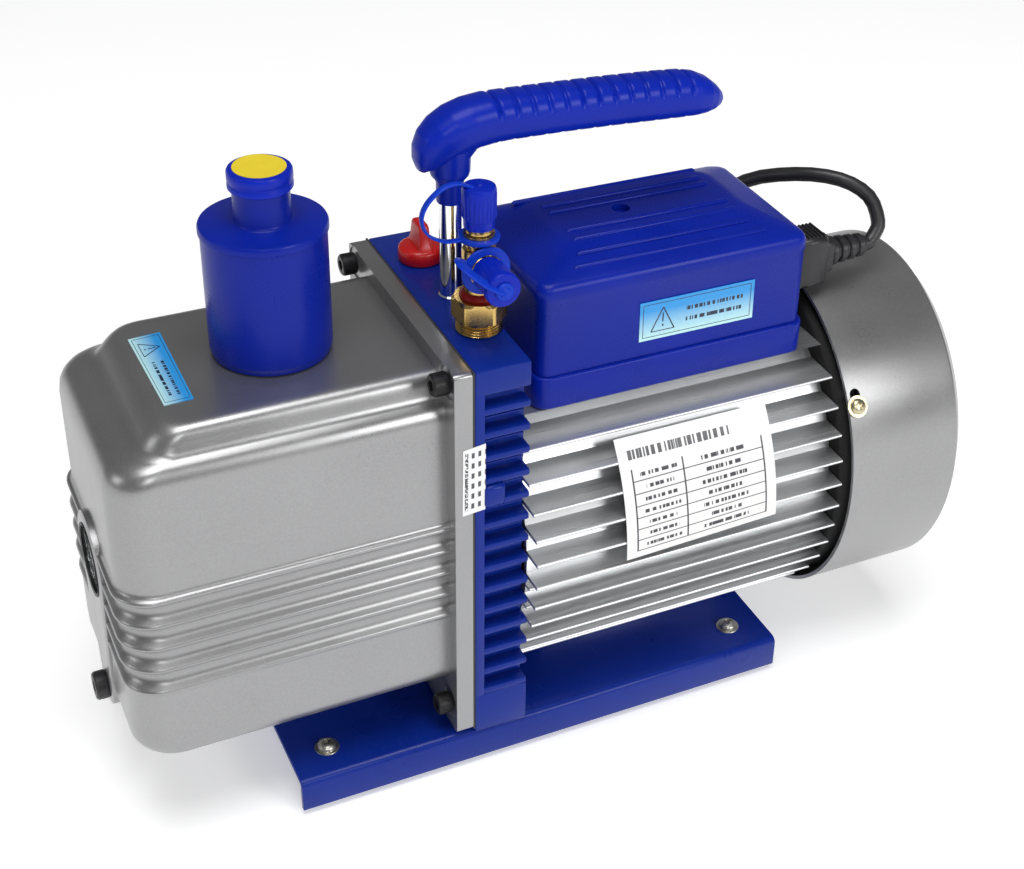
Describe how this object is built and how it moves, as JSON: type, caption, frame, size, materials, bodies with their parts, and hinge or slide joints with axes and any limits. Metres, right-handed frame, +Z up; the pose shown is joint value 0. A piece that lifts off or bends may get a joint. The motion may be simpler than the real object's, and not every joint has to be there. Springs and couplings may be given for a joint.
{
  "type": "rotary vane vacuum pump",
  "caption": "Oil-filled two-stage rotary vane vacuum pump with finned motor, terminal box, carry handle, exhaust filter can, capped brass inlet and mains lead.",
  "frame": {"origin": "centre of the footprint at floor level, under the rubber feet, measured without the mains lead", "axes": "+X along the shaft from the oil case to the fan cover, +Z up, -Y the side with the rating label"},
  "size_m": [0.3842, 0.2743, 0.289],
  "materials": {
    "blue_paint": "glossy royal-blue paint",
    "silver_paint": "satin silver hammer-grain paint",
    "blue_plastic": "moulded blue plastic, slightly glossy",
    "aluminium": "bright extruded fins",
    "dark_screw": "blackened socket cap screw",
    "zinc_screw": "zinc-plated screw",
    "chrome": "polished chrome",
    "brass": "machined brass",
    "red_plastic": "moulded red plastic",
    "black_plastic": "black moulded plastic",
    "black_paint": "black painted end bell",
    "rubber": "black rubber",
    "gasket": "gasket sheet",
    "sight_glass": "clear window",
    "cast_iron": "machined cast iron",
    "steel": "ground steel",
    "winding": "laminations and varnished copper windings",
    "carbon": "graphite-filled vane",
    "felt": "oil-mist filter medium",
    "cord": "black flexible lead"
  },
  "bodies": {
    "pump": {"base_plate": "blue_paint", "oil_case": "silver_paint", "case_gasket": "gasket", "sight_glass": "sight_glass", "pump_body": "blue_paint", "handle_post": "chrome", "handle_grip": "blue_plastic", "inlet_fitting": "brass", "cap_strap_top": "blue_plastic", "cap_strap_side": "blue_plastic", "exhaust_filter_can": "blue_plastic", "exhaust_filter_element": "felt", "stage_one_stator": "cast_iron", "middle_plate": "cast_iron", "stage_two_stator": "cast_iron", "end_plate": "cast_iron", "motor_frame": "aluminium", "stator_core": "winding", "front_bearing": "steel", "rear_bearing": "steel", "rear_end_bell": "black_paint", "fan_cover": "silver_paint", "fan_cover_screw_left": "zinc_screw", "fan_cover_screw_right": "zinc_screw", "terminal_box_base": "blue_plastic", "terminal_box_cover": "blue_plastic", "terminal_cover_screw": "dark_screw", "power_inlet": "black_plastic", "run_capacitor": "silver_paint", "power_cord_connector": "cord", "cord_run": "cord", "cord_coil": "cord", "cord_plug": "cord", "foot_front_left": "rubber", "foot_screw_front_left": "zinc_screw", "foot_front_right": "rubber", "foot_screw_front_right": "zinc_screw", "foot_rear_left": "rubber", "foot_screw_rear_left": "zinc_screw", "foot_rear_right": "rubber", "foot_screw_rear_right": "zinc_screw", "case_screw_upper_left": "dark_screw", "case_screw_upper_right": "dark_screw", "case_screw_lower_left": "dark_screw", "case_screw_lower_right": "dark_screw"},
    "shaft": {"motor_shaft": "steel", "motor_rotor": "steel", "cooling_fan": "black_plastic", "stage_one_rotor": "steel", "stage_two_rotor": "steel"},
    "first_vane_a": {"stage_one_vane_a": "carbon"},
    "first_vane_b": {"stage_one_vane_b": "carbon"},
    "second_vane_a": {"stage_two_vane_a": "carbon"},
    "second_vane_b": {"stage_two_vane_b": "carbon"},
    "fill_cap": {"oil_fill_cap": "red_plastic"},
    "dust_cap": {"exhaust_cap": "blue_plastic"},
    "top_cap": {"inlet_cap_top": "blue_plastic"},
    "side_cap": {"inlet_cap_side": "blue_plastic"},
    "drain": {"drain_plug": "black_plastic"},
    "switch": {"power_switch_rocker": "black_plastic"}
  },
  "joints": [
    {"name": "shaft_spin", "type": "hinge", "parent": "pump", "child": "shaft", "pos_m": [0.0551, 0, 0.101], "axis": [1, 0, 0], "continuous": true},
    {"name": "first_vane_a_slide", "type": "slide", "parent": "shaft", "child": "first_vane_a", "axis": [0, -1, 0], "range_m": [0, 0.0038]},
    {"name": "first_vane_b_slide", "type": "slide", "parent": "shaft", "child": "first_vane_b", "axis": [0, 1, 0], "range_m": [0, 0.0038]},
    {"name": "second_vane_a_slide", "type": "slide", "parent": "shaft", "child": "second_vane_a", "axis": [0, -1, 0], "range_m": [0, 0.003]},
    {"name": "second_vane_b_slide", "type": "slide", "parent": "shaft", "child": "second_vane_b", "axis": [0, 1, 0], "range_m": [0, 0.003]},
    {"name": "fill_cap_lift", "type": "slide", "parent": "pump", "child": "fill_cap", "axis": [0, 0, 1], "range_m": [0, 0.03]},
    {"name": "exhaust_cap_lift", "type": "slide", "parent": "pump", "child": "dust_cap", "axis": [0, 0, 1], "range_m": [0, 0.02]},
    {"name": "inlet_top_cap_pull", "type": "slide", "parent": "pump", "child": "top_cap", "axis": [0, 0, 1], "range_m": [0, 0.022], "deforming": ["cap_strap_top"]},
    {"name": "inlet_side_cap_pull", "type": "slide", "parent": "pump", "child": "side_cap", "axis": [0, -1, 0], "range_m": [0, 0.016], "deforming": ["cap_strap_side"]},
    {"name": "drain_plug_pull", "type": "slide", "parent": "pump", "child": "drain", "axis": [-1, 0, 0], "range_m": [0, 0.02]},
    {"name": "switch_rock", "type": "hinge", "parent": "pump", "child": "switch", "pos_m": [0.1156, 0.014, 0.198], "axis": [0, -1, 0], "range_deg": [0, 14]}
  ]
}
